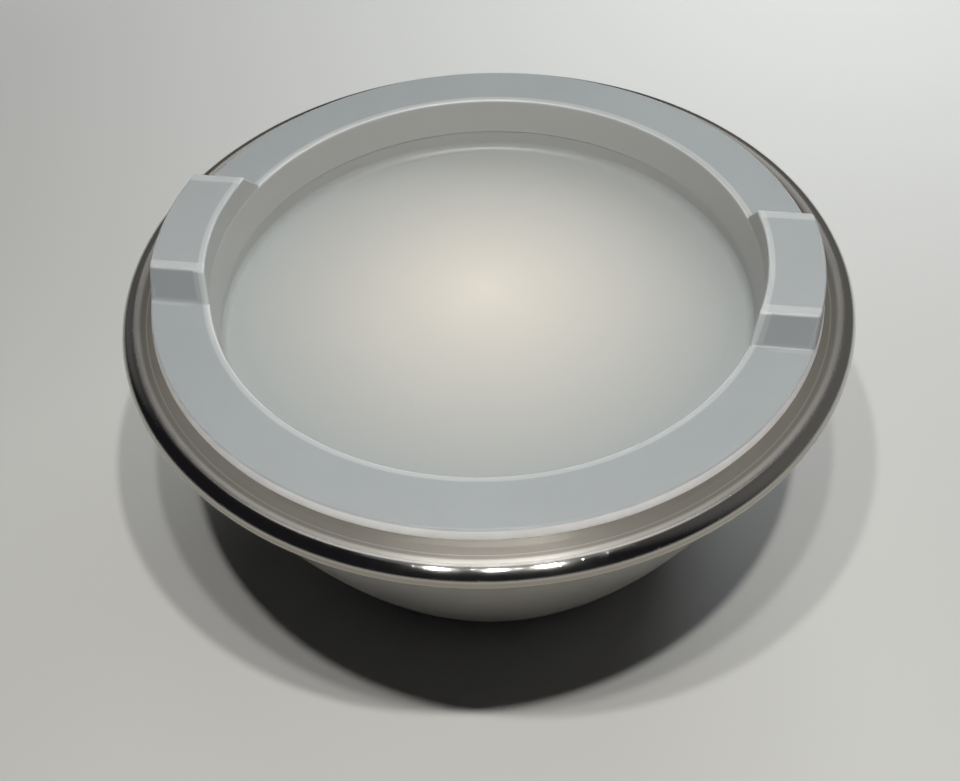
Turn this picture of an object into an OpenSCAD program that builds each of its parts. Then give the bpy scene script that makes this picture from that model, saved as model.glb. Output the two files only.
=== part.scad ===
// Double-walled steel bowl with a rolled rim, and a plug lid of frosted plastic with two ears.
// The origin is on the bowl's axis at the table, +Z is up, and the ears lie towards -X and +X.

/* [Bowl] */
// Outer diameter over the rolled rim
rim_d = 152; // [144:1:162]
// Height from the table to the top of the rolled rim
bowl_h = 67; // [58:1:80]
// Diameter at which the side would meet the table if its corner were sharp
base_d = 87; // [78:1:96]
// Radius of the side's gentle outward curve
side_r = 208; // [160:2:300]
// Thickness of both steel sheets
sheet_t = 0.8; // [0.6:0.1:1.0]
// Air space between the two shells
air_gap = 5; // [4:0.25:6]

/* [Rim and mouth] */
// Diameter of the rolled edge
bead_d = 5.2; // [4.8:0.2:6.4]
// How far round the rolled edge is curled under, past its lowest point, in degrees
curl_under = 20; // [0:5:30]
// Clearance between the two layers of the rolled edge
seam_gap = 0.1; // [0.05:0.05:0.2]
// Length of the satin slope inside the rolled edge
slope_l = 4.5; // [3:0.25:6]
// Fall of the slope, in degrees
slope_angle = 27; // [20:1:34]
// Fall of the ledge between the crease and the neck, in degrees
ledge_angle = 12; // [6:1:18]
// Depth of the bottom of the upright neck below the top of the rim
neck_depth = 9.6; // [9:0.2:12]

/* [Base] */
// Outside corner radius between the side and the foot
base_corner_r = 8; // [5:0.5:12]
// Width of the flat foot
foot_w = 5; // [3:0.5:7]
// Height of the base panel above the table
foot_rise = 2; // [1.6:0.2:3]
// Corner radius inside the bowl
floor_corner_r = 15; // [10:0.5:20]

/* [Lid] */
// Width of rim left uncovered outside the lid
lid_reveal = 6.7; // [6:0.1:8]
// Height of the lid's flat ring above the top of the rim
lid_rise = 3.6; // [3:0.1:5]
// Width of the lid's flat ring
ring_w = 12.2; // [11.6:0.2:14]
// Thickness of the moulding
lid_t = 1.8; // [1.4:0.1:2.2]
// Height of the ring's outer edge
edge_h = 2.6; // [2.2:0.1:3.2]
// How far the ring's outer edge flares out from top to bottom
edge_flare = 0.5; // [0:0.1:0.8]
// Depth of the sunk middle below the ring
recess_depth = 13.8; // [12:0.2:18]
// Depth of the step in the recess wall
step_depth = 8.5; // [6:0.25:10]
// How far the recess wall leans in by the step
wall_lean = 0.8; // [0:0.1:1.2]
// Width of the step
step_w = 0.6; // [0.3:0.1:0.8]
// Depth of the underside of the flange that holds the seal, below the top of the rim
plug_depth = 9.5; // [9:0.25:10.5]
// Clearance between the flange and the neck
plug_gap = 1.3; // [1.1:0.1:1.5]

/* [Ears] */
// Height of the ears above the flat ring
ear_h = 5.2; // [4:0.1:7]
// Length of each ear at its foot, from front to back
ear_l = 39; // [34:0.5:44]
// Run of the sloped ends of each ear, from foot to top
ear_run = 4.2; // [3:0.1:6]
// How far the ears' outer faces lean in from foot to top
ear_lean = 0.5; // [0:0.1:1.5]
// Radius of the ears' top edges
ear_edge_r = 0.6; // [0.4:0.1:1]
// Thickness of the ribs under the ears
rib_t = 1.5; // [1:0.1:2]

/* [Seal] */
// Thickness of the seal's collar on the ledge
collar_t = 1.6; // [1.2:0.1:2]
// Reach of the collar past the neck
collar_reach = 2.2; // [1.8:0.1:2.6]
// Reach of the two wiping lips past the seal's body
lip_reach = 1.9; // [1.4:0.1:2.4]
// Clearance between the seal and the steel
seal_gap = 0.3; // [0.2:0.05:0.4]
// Clearance between the seal and the lid
seat_gap = 0.05; // [0.02:0.01:0.1]

/* [Hidden] */
$fn = 144;

// Longest straight stretch, and largest turn in degrees, with which a curve of an outline is drawn
curve_step = 3;
turn_step = 9;
// Points of an outline that lie closer than this are one point
same_place = 0.001;
// How far a cutting shape runs past what it cuts
overrun = 1;

// Rolled edge: its centre, and the radii of the two layers
bead_r = bead_d / 2;
bead_c = [rim_d / 2 - bead_r, bowl_h - bead_r];
seam_r = bead_r - sheet_t - seam_gap;
seam_inner_r = seam_r - sheet_t;

// Circle of the side: it stands on the base diameter and runs into the rolled edge without a corner
base_pt = [base_d / 2, 0];
side_c = far_meeting(bead_c, side_r + seam_inner_r, base_pt, side_r);

// Depths below the outer surface of the mid line of each sheet
shell_mid = sheet_t / 2;
liner_mid = sheet_t + air_gap + sheet_t / 2;

// Neck of the liner: it starts where the side has come in far enough
neck_z = bowl_h - neck_depth;
neck_r = side_at(neck_z, liner_mid) - sheet_t / 2;
neck_mid = neck_r + sheet_t / 2;

// Inside floor of the liner, on its mid line
floor_z = foot_rise + sheet_t + air_gap + sheet_t / 2;

// Mid line of the slope and the ledge
slope_top = bead_c + (bead_r - sheet_t / 2) * [cos(90 + slope_angle), sin(90 + slope_angle)];
crease = slope_top - slope_l * [cos(slope_angle), sin(slope_angle)];
ledge_end = [neck_mid, crease.y - (crease.x - neck_mid) * tan(ledge_angle)];
mouth_corner_r = 2 * sheet_t;
crease_bend_r = 4 * sheet_t;

// Lid levels and radii
ring_z = bowl_h + lid_rise;
lid_r = rim_d / 2 - lid_reveal;
ring_r = lid_r - edge_flare;
recess_r = lid_r - ring_w;
disc_z = ring_z - recess_depth;
step_z = ring_z - step_depth;
plug_r = neck_r - plug_gap;
plug_z = bowl_h - plug_depth;
wall_r = recess_r + lid_t;
soft_r = lid_t / 4;

// Seal levels: the collar lies along the ledge, and a rib under the lid's ring bears on it
collar_r = neck_r + collar_reach;
collar_z = ledge_surface(collar_r) + seal_gap;
rib_z = collar_z + collar_t + seat_gap;
rib_r = plug_r + lid_t;
lip_t = collar_t / 2;
lip_r = neck_r - seal_gap;
lip_top = ledge_surface(neck_r) - mouth_corner_r / 2;

// Meeting point of two circles that lies farther from the axis side
function far_meeting(a, ra, b, rb) =
    let (d = norm(b - a), u = (b - a) / d, k = (ra * ra - rb * rb + d * d) / (2 * d))
    a + k * u + sqrt(ra * ra - k * k) * [u.y, -u.x];

// Distance from the axis to the side at height z, measured depth inside its outer surface
function side_at(z, depth) = side_c.x + sqrt(pow(side_r - depth, 2) - pow(z - side_c.y, 2));

// Height of the upper surface of the ledge at a distance r from the axis
function ledge_surface(r) = crease.y - (crease.x - r) * tan(ledge_angle) + sheet_t / 2 / cos(ledge_angle);

// Centre of a corner of radius r between the side, at that depth, and a floor at height z
function corner_c(z, depth, r) = [side_c.x + sqrt(pow(side_r - depth - r, 2) - pow(z + r - side_c.y, 2)), z + r];

function angle_of(v) = atan2(v.y, v.x);
function unit(v) = v / norm(v);
function steps(r, turn) = max(ceil(abs(turn) / turn_step), ceil(abs(turn) / 360 * 2 * PI * r / curve_step), 1);

// Points of an arc
function arc(c, r, from, to) =
    let (n = steps(r, to - from))
    [for (k = [0 : n]) let (a = from + (to - from) * k / n) c + r * [cos(a), sin(a)]];

// Points of a corner of radius b[2] at b, between its neighbours a and c
function corner(a, b, c) =
    let (p = [b.x, b.y], u = unit([a.x, a.y] - p), v = unit([c.x, c.y] - p), half = acos(u * v) / 2,
         m = p + unit(u + v) * b[2] / sin(half), s = p + u * b[2] / tan(half),
         turn = sign(cross(v, u)) * (180 - 2 * half), from = angle_of(s - m))
    arc(m, b[2], from, from + turn);

// A line or outline given as [x, y, corner radius], with its corners rounded
function rounded(v, closed = true) =
    let (n = len(v))
    [for (i = [0 : n - 1])
        let (plain = v[i][2] == 0 || (!closed && (i == 0 || i == n - 1)))
        each plain ? [[v[i].x, v[i].y]] : corner(v[(i + n - 1) % n], v[i], v[(i + 1) % n])];

// A line without repeated points
function distinct(line) =
    [for (i = [0 : len(line) - 1]) if (i == 0 || norm(line[i] - line[i - 1]) > same_place) line[i]];

// A line moved sideways, each stretch parallel to where it was
function shifted(line, d) =
    let (last = len(line) - 1,
         ways = [for (i = [1 : last]) let (t = unit(line[i] - line[i - 1])) [-t.y, t.x]])
    [for (i = [0 : last])
        let (a = ways[max(i - 1, 0)], b = ways[min(i, last - 1)]) line[i] + d * (a + b) / (1 + a * b)];

function reversed(line) = [for (i = [len(line) - 1 : -1 : 0]) line[i]];

// Section of a sheet formed along a mid line
module sheet(line) {
    mid = distinct(line);
    polygon(concat(shifted(mid, sheet_t / 2), reversed(shifted(mid, -sheet_t / 2))));
}

// Outer shell: base panel, foot, corner, side, and the hem inside the rolled edge
module outer_shell() {
    c = corner_c(0, 0, base_corner_r);
    foot_out = c.x;
    foot_in = foot_out - foot_w;
    panel_z = foot_rise + shell_mid;
    bend_r = foot_rise / 2;
    low = angle_of(c - side_c);
    high = angle_of(bead_c - side_c);
    base = rounded([[0, panel_z, 0], [foot_in - foot_rise, panel_z, bend_r],
                    [foot_in, shell_mid, bend_r], [foot_out, shell_mid, 0]], false);
    hem_end = -curl_under;
    line = concat(base, arc(c, base_corner_r - shell_mid, -90, low),
                  arc(side_c, side_r - shell_mid, low, high),
                  arc(bead_c, seam_inner_r + shell_mid, high + 180, hem_end));
    color("silver") rotate_extrude() sheet(line);
}

// Liner: floor, side, neck, ledge, slope, and the edge rolled over the hem of the outer shell
module liner() {
    depth = liner_mid;
    c = corner_c(floor_z, depth, floor_corner_r);
    low = angle_of(c - side_c);
    high = angle_of([neck_mid, neck_z] - side_c);
    top = rounded([[neck_mid, neck_z, 0], concat(ledge_end, mouth_corner_r), concat(crease, crease_bend_r),
                   concat(slope_top, 0)], false);
    line = concat([[0, floor_z]], arc(c, floor_corner_r, -90, low), arc(side_c, side_r - depth, low, high), top,
                  arc(bead_c, bead_r - sheet_t / 2, 90 + slope_angle, -90 - curl_under));
    color("gainsboro") rotate_extrude() sheet(line);
}

// Section of the lid's ring, with the rib that bears on the seal
module ring_section() {
    under_z = ring_z - lid_t;
    hem_r = ring_r - lid_t;
    polygon(rounded([[recess_r, ring_z, lid_t / 2], [recess_r, under_z, 0], [hem_r, under_z, 0],
                     [hem_r, ring_z - edge_h, 0], [lid_r, ring_z - edge_h, soft_r], [ring_r, ring_z, soft_r]]));
    polygon([[plug_r, under_z + soft_r], [plug_r, rib_z], [rib_r, rib_z], [rib_r, under_z + soft_r]]);
}

// Section of the sunk middle and its wall
module recess_section() {
    top_z = ring_z - lid_t / 2;
    step_r = recess_r - wall_lean;
    foot_r = step_r + step_w;
    polygon(rounded([[recess_r, top_z, 0], [step_r, step_z, soft_r / 2], [foot_r, step_z - step_w, soft_r / 2],
                     [foot_r, disc_z, lid_t], [0, disc_z, 0], [0, disc_z - lid_t, 0],
                     [foot_r + lid_t, disc_z - lid_t, lid_t], [wall_r, step_z, 0], [wall_r, top_z, 0]]));
}

// Section of the flange that holds the seal from below
module flange_section() {
    in_r = wall_r - lid_t / 2;
    polygon(rounded([[in_r, plug_z, 0], [plug_r, plug_z, soft_r], [plug_r, plug_z + lid_t, soft_r],
                     [in_r, plug_z + lid_t, 0]]));
}

// One ear as a solid, from the middle of the ring up
module ear_body() {
    top_z = ring_z + ear_h;
    low_z = ring_z - lid_t / 2;
    foot = ear_l / 2;
    head = foot - ear_run;
    section = rounded([[recess_r, low_z, 0], [ring_r, low_z, 0], [ring_r, ring_z, 0],
                       [ring_r - ear_lean, top_z, ear_edge_r], [recess_r, top_z, ear_edge_r]]);
    length = rounded([[-foot, low_z, 0], [foot, low_z, 0], [foot, ring_z, 0], [head, top_z, ear_edge_r],
                      [-head, top_z, ear_edge_r], [-foot, ring_z, 0]]);
    intersection() {
        rotate_extrude() polygon(section);
        rotate([90, 0, 90]) linear_extrude(height = ring_r + overrun) polygon(length);
    }
}

// Pockets that core one ear from below, with ribs left between them
module ear_pockets() {
    low_z = rib_z - overrun;
    top_z = ring_z + ear_h - lid_t;
    out_r = ring_r - lid_t;
    foot = ear_l / 2 - lid_t * norm([ear_h, ear_run]) / ear_h;
    head = foot - ear_run * (1 - lid_t / ear_h);
    cells = 3;
    cell = (2 * foot - (cells - 1) * rib_t) / cells;
    intersection() {
        rotate_extrude() union() {
            polygon([[rib_r, low_z], [out_r, low_z], [out_r, ring_z],
                     [out_r - ear_lean * (1 - lid_t / ear_h), top_z], [rib_r, top_z]]);
            polygon([[wall_r, low_z], [plug_r, low_z], [plug_r, top_z], [wall_r, top_z]]);
        }
        rotate([90, 0, 90]) linear_extrude(height = ring_r)
            polygon([[-foot, low_z], [foot, low_z], [foot, ring_z], [head, top_z], [-head, top_z], [-foot, ring_z]]);
        translate([0, 0, low_z - overrun]) linear_extrude(height = top_z - low_z + 2 * overrun)
            for (k = [0 : cells - 1])
                translate([0, k * (cell + rib_t) - foot]) square([lid_r, cell]);
    }
}

module both_sides() {
    children();
    mirror([1, 0, 0]) children();
}

// Lid: one moulding of ring, ears, sunk middle and flange
module lid() {
    color([0.78, 0.81, 0.82]) union() {
        difference() {
            rotate_extrude() union() {
                ring_section();
                recess_section();
                flange_section();
            }
            both_sides() ear_pockets();
        }
        both_sides() difference() {
            ear_body();
            ear_pockets();
        }
    }
}

// Seal: a body on the lid's flange, a collar on the ledge and two wiping lips in the neck
module lid_seal() {
    root_r = wall_r + seat_gap;
    body_r = lip_r - lip_reach;
    low = plug_z + lid_t + seat_gap;
    high = lip_top;
    top_z = collar_z + collar_t;
    under = ledge_surface(lip_r) + seal_gap;
    color([0.86, 0.87, 0.86]) rotate_extrude() union() {
        polygon([[root_r, low], [body_r, low], [body_r, top_z], [root_r, top_z]]);
        polygon([[body_r, low], [lip_r, low], [lip_r, low + lip_t], [body_r, low + 2 * lip_t]]);
        polygon([[body_r, high - 2 * lip_t], [lip_r, high - lip_t], [lip_r, high], [body_r, high]]);
        polygon([[body_r, high - lip_t], [lip_r, high], [lip_r, under], [collar_r, collar_z], [collar_r, top_z],
                 [body_r, top_z]]);
    }
}

outer_shell();
liner();
lid();
lid_seal();
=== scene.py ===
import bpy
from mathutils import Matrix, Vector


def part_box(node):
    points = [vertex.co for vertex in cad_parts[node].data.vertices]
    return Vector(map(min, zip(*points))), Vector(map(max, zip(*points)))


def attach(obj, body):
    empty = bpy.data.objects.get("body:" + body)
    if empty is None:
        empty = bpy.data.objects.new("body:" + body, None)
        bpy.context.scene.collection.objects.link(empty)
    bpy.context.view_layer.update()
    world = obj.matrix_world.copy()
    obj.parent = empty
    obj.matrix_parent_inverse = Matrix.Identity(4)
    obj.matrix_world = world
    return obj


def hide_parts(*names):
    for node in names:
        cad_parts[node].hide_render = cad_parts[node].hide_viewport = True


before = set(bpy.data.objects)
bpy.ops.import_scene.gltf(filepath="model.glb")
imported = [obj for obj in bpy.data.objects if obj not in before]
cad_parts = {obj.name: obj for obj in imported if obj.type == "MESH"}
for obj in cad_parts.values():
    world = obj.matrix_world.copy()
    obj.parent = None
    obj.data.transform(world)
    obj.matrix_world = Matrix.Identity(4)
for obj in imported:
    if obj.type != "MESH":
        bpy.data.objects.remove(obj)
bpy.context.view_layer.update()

import math

import bmesh
import bpy
import numpy as np
from bpy.props import FloatProperty, FloatVectorProperty, PointerProperty
from mathutils import Matrix, Vector

bl_info = {
    "name": "Double-walled bowl with frosted lid",
    "version": (1, 0, 0),
    "blender": (4, 5, 0),
    "location": "3D View > Sidebar > Bowl",
    "description": "Builds a steel bowl with a rolled rim, its frosted plug lid and a small studio",
    "category": "Add Mesh",
}

LINER_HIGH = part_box("liner")[1]
LID_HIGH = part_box("lid")[1]
MM = 0.001

# How finely curves are drawn: degrees from point to point, the longest chord and steps of a full turn
ARC_STEP = 6.0
CORNER_STEP = 11.0
EAR_CORNER_STEP = 10.0
ROLL_STEP = 4.0
SHEET_END_STEP = 30.0
LONGEST_CHORD = 2.5 * MM
TURNS = 288

# An ear's levels at its foot, side and top edge, where round a corner its end begins, and its pockets
EAR_FOOT_LEVELS = 7
EAR_LEVEL_SHARES = (0.3, 0.55, 0.8)
EAR_EDGE_LEVELS = 9
EAR_END_SHARE = 0.35
POCKET_CELLS = 3
POCKET_POINTS = 16

# Angles past which an edge is shaded sharp, and distances that count as nothing
SHARP_EDGE = math.radians(35)
LID_SHARP_EDGE = math.radians(32)
SAME_POINT = 1e-8
TINY = 1e-7

# Brush lines, fine and broad: cells per metre across them, cells per radian along them, their noise
# and their share of the whole
BRUSH_GRADES = ((9000.0, 1.5, (1.0, 3.0, 0.65), 0.65), (9000.0 / 7, 3.0, (1.0, 2.0, 0.5), 0.35))

# Noises: scale in cells per metre, detail and roughness; the spans are shares of a noise's own range
STEEL_CLOUDS = (35.0, 3.0, 0.55)
STEEL_SMUDGES = (9.0, 2.0, 0.5)
SMUDGE_SPAN = (0.52, 0.72)
STEEL_SPECKS = (1100.0, 1.0, 0.5)
SPECK_SPAN = (0.68, 0.76)
STEEL_DENTS = (420.0, 2.0, 0.6)
PLASTIC_GRAIN = (2600.0, 2.0, 0.6)
PLASTIC_CLOUDS = (22.0, 3.0, 0.5)
PLASTIC_CLOUD_SPAN = (0.2, 0.8)
SEAL_CLOUDS = (60.0, 3.0, 0.6)
SEAL_GRAIN = (1500.0,)
FLOOR_MOTTLE = (5.0, 4.0, 0.5)

# How much each pattern adds to the roughness, or to the relief of the polished edge
LINES_ROUGH = 0.10
CLOUDS_ROUGH = 0.06
SMUDGES_ROUGH = 0.05
BEAD_MARKS_ROUGH = 0.04
GRAIN_ROUGH = 0.08
PLASTIC_CLOUDS_ROUGH = 0.05
SEAL_CLOUDS_ROUGH = 0.1
FLOOR_ROUGHNESS = 0.75
BEAD_LINES_LOST = 0.93
BEAD_SPECKS_HIGH = 1.5
BEAD_DENTS_HIGH = 0.5

# How strong each relief is
STEEL_BUMP = 0.16
PLASTIC_BUMP = 0.12
SEAL_BUMP = 0.15

# Turn of the gloss as a share of a full turn, which draws it out across the brush lines
QUARTER_TURN = 0.25

# The two shades of a plain colour, and how far a pattern moves a colour towards the next
PLASTIC_SHADES = (0.97, 1.03)
FLOOR_SHADES = (0.985, 1.015)
SEAL_BLOOM = 0.25
GLOW_CLOUDS = 0.05
# How far the painted reflected line pales the slope
REFLECTED_LINE_SHINE = 0.4

# How much painted light pales the lid's edges, ends and ears, and how light sinks into it
INNER_EDGE_PALE = 0.6
END_BAND_PALE = 0.6
FOOT_BAND_PALE = 0.3
RAISED_PALE = 0.12
PLASTIC_IOR = 1.49
PLASTIC_SUNK_SHARE = 0.6
PLASTIC_SUNK_DEPTH = 1.2 * MM

# Where the steel and its painted sheen, reflections and shade change: from the crest of the rolled edge, its
# middle height and the shell's end
POLISH_SPAN = (-0.8 * MM, 0.5 * MM)
POLISH_WANDER = 0.6 * MM
SHEEN_SPAN = (-2.0 * MM, -0.7 * MM)
REFLECTED_LINE_IN = 2.6 * MM
REFLECTED_LINE_HALF = 0.1 * MM
REFLECTED_LINE_SOFT = 0.1 * MM
UNDERSIDE_SPAN = (0.3 * MM, 1.3 * MM)
SEAM_SHADE_SPAN = (-1.1 * MM, -0.4 * MM)

# Where the lid's painted light and shade change, each span from the edge or height that its mask names, and
# the disc's painted glow
RAISED_SPAN = (0.3 * MM, 0.8 * MM)
EAR_TOP_SPAN = (-0.5 * MM, -0.2 * MM)
INNER_EDGE_SPAN = (1.1 * MM, 1.6 * MM)
FACE_HEAD_SPAN = (-0.2 * MM, 0.2 * MM)
FACE_INNER_SPAN = (2.0 * MM, 2.6 * MM)
FACE_OUTER_SPAN = (-1.2 * MM, -0.7 * MM)
END_BAND_SPAN = (-2.5 * MM, -2.1 * MM)
FOOT_SPAN = (0.0, 0.2 * MM)
FOOT_END_SPAN = (0.8 * MM, 1.2 * MM)
FOOT_OUTWARD_SPAN = (2.0 * MM, 6.0 * MM)
HEM_SPAN = (-0.5 * MM, -0.05 * MM)
INSIDE_SPAN = (0.05 * MM, 0.2 * MM)
WALL_TOP_SPAN = (-2.5 * MM, -0.4 * MM)
WALL_FACE_SPAN = (0.0, 0.4 * MM)
EAR_WALL_SPAN = (-1.4 * MM, -0.5 * MM)
SUNK_SPAN = (0.4 * MM, 1.8 * MM)
GLOW_PLACE = (-1.1 * MM, 5.9 * MM)
GLOW_REACH = 54 * MM

# The floor: its radius and sides, the way to its back, where a painted glow makes it paler, and the spans of
# that glow and of the even paleness of its far edge
FLOOR_R = 3.0
FLOOR_SIDES = 64
FLOOR_GLOW_WAY = (0.15, 0.95)
FLOOR_GLOW_SPAN = (-0.02, 0.30)
FLOOR_EDGE_SPAN = (0.24, 0.75)

# The studio in metres, but the camera's distances in rim radii, and each lamp as x and y in rim radii
# and its share of the lamp power; each wall is the way to its middle and the cosines that its edge spans
RIM_R = 76 * MM
RIM_LEVEL = 64.4 * MM
LAMPS = ((0.8, -1.87, 1.55), (-0.05, -1.83, 0.85), (-0.95, -1.7, 1.15))
LAMP_RISE = 5.5
LAMP_TINT = (1.0, 0.97, 0.92)
SOFT_PLACE = (0.0, 0.1, 1.5)
SOFT_W = 0.8
SOFT_TINT = (0.96, 0.98, 1.0)
SIDE_PLACE = (0.16, 0.28, 0.24)
SIDE_AIM = (0.0, 0.0, 0.04)
SIDE_W = 0.24
SIDE_TINT = (0.96, 0.99, 1.0)
WALLS = {"room_left": ((-0.55, 0.78, 0.30), (0.85, 0.97)),
         "room_right": ((0.85, 0.40, 0.35), (0.40, 0.90)),
         "room_back": ((0.0, 0.52, 0.854), (0.956, 0.9945))}
PICTURE_W = 960
SENSOR_W = 36.0
FOCAL_PIXELS = 1194.79
CAMERA_FALL = math.radians(47.81)
CAMERA_ROLL = math.radians(-2.676)
CAMERA_BACK, CAMERA_RIGHT, CAMERA_UP = 3.3274, -0.0316, -0.3039
CAMERA_CLIP = (0.01, 20.0)


def length(name, default, description=""):
    return FloatProperty(name=name, description=description or name, default=default, min=0.0, max=1.0,
                         unit="LENGTH", precision=5)


def turn(name, degrees, description=""):
    return FloatProperty(name=name, description=description or name, default=math.radians(degrees),
                         subtype="ANGLE", unit="ROTATION")


def share(name, default, description=""):
    return FloatProperty(name=name, description=description or name, default=default, min=0.0, max=1.0,
                         subtype="FACTOR")


def power(name, default, description):
    return FloatProperty(name=name, description=description, default=default, unit="POWER")


def tint(name, default, description=""):
    return FloatVectorProperty(name=name, description=description or name, default=default, size=3,
                               min=0.0, max=1.0, subtype="COLOR")


# Sizes

class BowlSizes(bpy.types.PropertyGroup):
    """Sizes of the two steel shells"""
    rim_r: length("Rim radius", LINER_HIGH.x, "Outer radius over the rolled rim")
    height: length("Bowl height", LINER_HIGH.z, "Height of the top of the rolled rim")
    base_r: length("Base radius", 43.5 * MM, "Radius where the side would meet the table")
    side_r: length("Side curve", 208 * MM, "Radius of the side's outward curve")
    sheet_t: length("Sheet thickness", 0.8 * MM, "Thickness of the steel of both shells")
    air_gap: length("Air gap", 5 * MM, "Air space between the shells")
    bead_r: length("Bead radius", 2.6 * MM, "Radius of the rolled edge")
    seam_gap: length("Seam gap", 0.1 * MM, "Clearance inside the rolled edge")
    curl_under: turn("Curl", 20, "How far the rolled edge runs past its lowest point")
    slope_l: length("Slope length", 4.5 * MM, "Length of the satin slope inside the rolled edge")
    slope_angle: turn("Slope fall", 27, "How steeply the satin slope falls inward")
    ledge_angle: turn("Ledge fall", 12, "How steeply the ledge under the lid falls inward")
    neck_depth: length("Neck depth", 9.6 * MM, "How far the neck reaches down below the top of the rim")
    base_corner_r: length("Base corner", 8 * MM, "Outer radius of the corner between side and base")
    foot_w: length("Foot width", 5 * MM, "Width of the flat ring that the bowl stands on")
    foot_rise: length("Foot rise", 2 * MM, "How far the middle of the base is drawn up")
    floor_corner_r: length("Floor corner", 15 * MM, "Radius of the liner's corner between floor and side")


class LidSizes(bpy.types.PropertyGroup):
    """Sizes of the lid and its seal"""
    reveal: length("Rim left uncovered", 6.7 * MM, "Width of the rim outside the lid, seen from above")
    top: length("Ear top", LID_HIGH.z, "Height of the top of the ears")
    ear_h: length("Ear height", 5.2 * MM, "Height of the ears above the ring")
    ear_l: length("Ear length", 39 * MM, "Length of each ear at its foot")
    ear_run: length("Ear slope run", 4.2 * MM, "Run of the ears' sloped ends from foot to top")
    ear_edge_r: length("Ear edge", 0.45 * MM, "Radius of the ears' top edges")
    ear_corner_r: length("Ear corner", 1.3 * MM, "Radius of the ears' upright outer corners")
    ear_inner_r: length("Ear inner corner", 0.6 * MM, "Radius of the ears' upright inner corners")
    ear_lean: length("Ear lean", 0.5 * MM, "How far the ears' outer faces lean in")
    ear_foot_r: length("Ear foot fillet", 0.35 * MM, "Radius of the fillet between ears and ring")
    ring_w: length("Ring width", 12.2 * MM, "Width of the flat ring, from the recess to its outer edge")
    wall_t: length("Wall", 1.8 * MM, "Thickness of the lid's walls")
    edge_h: length("Ring edge height", 2.6 * MM, "Height of the ring's outer edge")
    edge_flare: length("Ring edge flare", 0.5 * MM, "How far the ring's outer edge leans out to its foot")
    recess_depth: length("Recess depth", 13.8 * MM, "Depth of the sunk disc below the ring")
    step_depth: length("Step depth", 8.5 * MM, "Depth of the recess wall's fine step below the ring")
    step_w: length("Step width", 0.6 * MM, "Width of the recess wall's fine step")
    wall_lean: length("Wall lean", 0.8 * MM, "How far the recess wall leans in from the ring to the step")
    plug_depth: length("Flange depth", 9.5 * MM, "Depth of the lid's flange below the rim")
    plug_gap: length("Flange clearance", 1.3 * MM, "Clearance between the lid's flange and the neck")
    lip_reach: length("Lip reach", 1.9 * MM, "Reach of the seal's lips past its body")
    rib_t: length("Rib", 1.5 * MM, "Thickness of the ribs between the pockets under the ears")
    collar_t: length("Seal collar", 1.6 * MM, "Thickness of the seal's collar")
    collar_reach: length("Collar reach", 2.2 * MM, "How far the seal's collar reaches out past the neck")
    seal_gap: length("Seal clearance", 0.3 * MM, "Clearance between the seal and the steel")
    seat_gap: length("Seat clearance", 0.05 * MM, "Clearance between the seal and the lid")


class Finish(bpy.types.PropertyGroup):
    """Colours and gloss of the bowl and its lid"""
    steel: tint("Steel", (0.34, 0.325, 0.30), "Brushed steel where its brush lines are palest")
    steel_dark: tint("Dark steel", (0.27, 0.255, 0.235), "Brushed steel where its brush lines are darkest")
    # Polished steel's own colour, also laid as a painted sheen on the slope beside the rolled edge
    bead: tint("Polished steel", (0.66, 0.645, 0.62), "Steel of the rolled edge and the worn slope beside it")
    # Painted reflection on the lower half of the rolled edge, darker and warmer
    bead_under_reflection: tint("Underside of the rolled edge", (0.36, 0.33, 0.28))
    # Painted shade on the shell under the rolled edge
    seam: tint("Seam under the rolled edge", (0.10, 0.09, 0.075))
    bead_roughness: share("Bead roughness", 0.08, "Roughness of the polished rolled edge")
    satin_roughness: share("Satin roughness", 0.27, "Roughness of the liner's brushed steel")
    satin_bloom: share("Satin bloom", 0.10, "How much of the light the satin steel scatters")
    shell_roughness: share("Shell roughness", 0.22, "Roughness of the outer shell's brushed steel")
    brushing: share("Brushing", 0.94, "How far the liner's gloss is drawn out across its brush lines")
    brush_relief: length("Brush relief", 0.06 * MM, "Height of the steel's brush lines")
    shell_brushing: share("Shell brushing", 0.55, "How far the shell's gloss is drawn out")
    plastic: tint("Frosted plastic", (0.305, 0.331, 0.346), "The lid's ring and the tops of its ears")
    # Painted light that pales the lid's inner edges, the ears' top ends, their feet and the ears themselves
    plastic_edge_light: tint("Lid where its walls are thick", (0.455, 0.48, 0.49))
    # Painted glow on the edge of the lid's ring
    plastic_hem_glow: tint("Edge of the lid's ring, which light leaves", (0.95, 0.97, 0.98))
    # Painted shade on the ears' sloped ends
    plastic_end_shade: tint("Lid where pockets lie behind its walls", (0.265, 0.29, 0.305))
    # Painted light: a paler copy of the plastic on the recess wall and the ears' inner walls
    plastic_wall_light: tint("Recess wall", (0.44, 0.45, 0.445), "The wall between the ring and the sunk disc")
    disc_edge: tint("Edge of the sunk disc", (0.325, 0.348, 0.352))
    # Painted glow in the middle of the sunk disc
    disc_glow: tint("Middle of the sunk disc", (0.66, 0.635, 0.585))
    plastic_roughness: share("Plastic roughness", 0.42, "Roughness of the frosted lid")
    plastic_relief: length("Plastic relief", 0.08 * MM, "Height of the frosted grain")
    seal: tint("Seal", (0.60, 0.61, 0.60))
    seal_bloom: tint("Bloom on the seal", (0.75, 0.76, 0.75))
    seal_roughness: share("Seal roughness", 0.6, "Roughness of the seal's soft rubber")
    seal_relief: length("Seal relief", 0.1 * MM, "Height of the seal's grain")


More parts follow.
